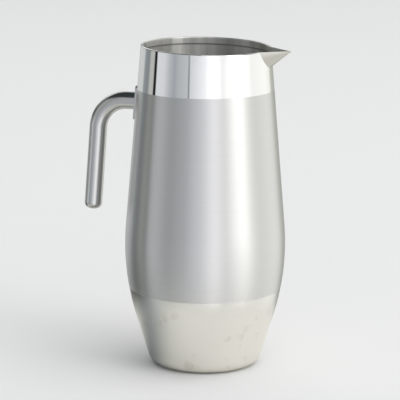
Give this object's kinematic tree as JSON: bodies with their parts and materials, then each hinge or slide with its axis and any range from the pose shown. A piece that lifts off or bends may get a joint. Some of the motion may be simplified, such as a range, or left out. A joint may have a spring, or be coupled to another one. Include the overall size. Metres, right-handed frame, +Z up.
{
  "type": "water pitcher",
  "caption": "Tall tapered stainless steel water pitcher with a small pointed spout, a satin middle band between mirror bands, and an open hook handle.",
  "frame": {"origin": "where the vessel's axis crosses the plane that the pitcher stands on", "axes": "+Z up the vessel's axis, +X towards the spout, -X towards the handle; the XZ plane is the plane of symmetry"},
  "size_m": [0.1777, 0.1332, 0.2681],
  "materials": {
    "vessel_steel": "stainless steel, satin round the middle and inside, mirror polished in a band at the lip and a band at the foot",
    "polished_steel": "mirror polished stainless steel",
    "handle_steel": "fine satin stainless steel, brushed along the tube"
  },
  "bodies": {
    "root": {"body_shell": "vessel_steel", "base_pan": "vessel_steel", "spout_beak": "polished_steel", "handle_plate": "handle_steel", "handle_tube": "handle_steel", "handle_end_cap": "handle_steel"}
  },
  "joints": []
}
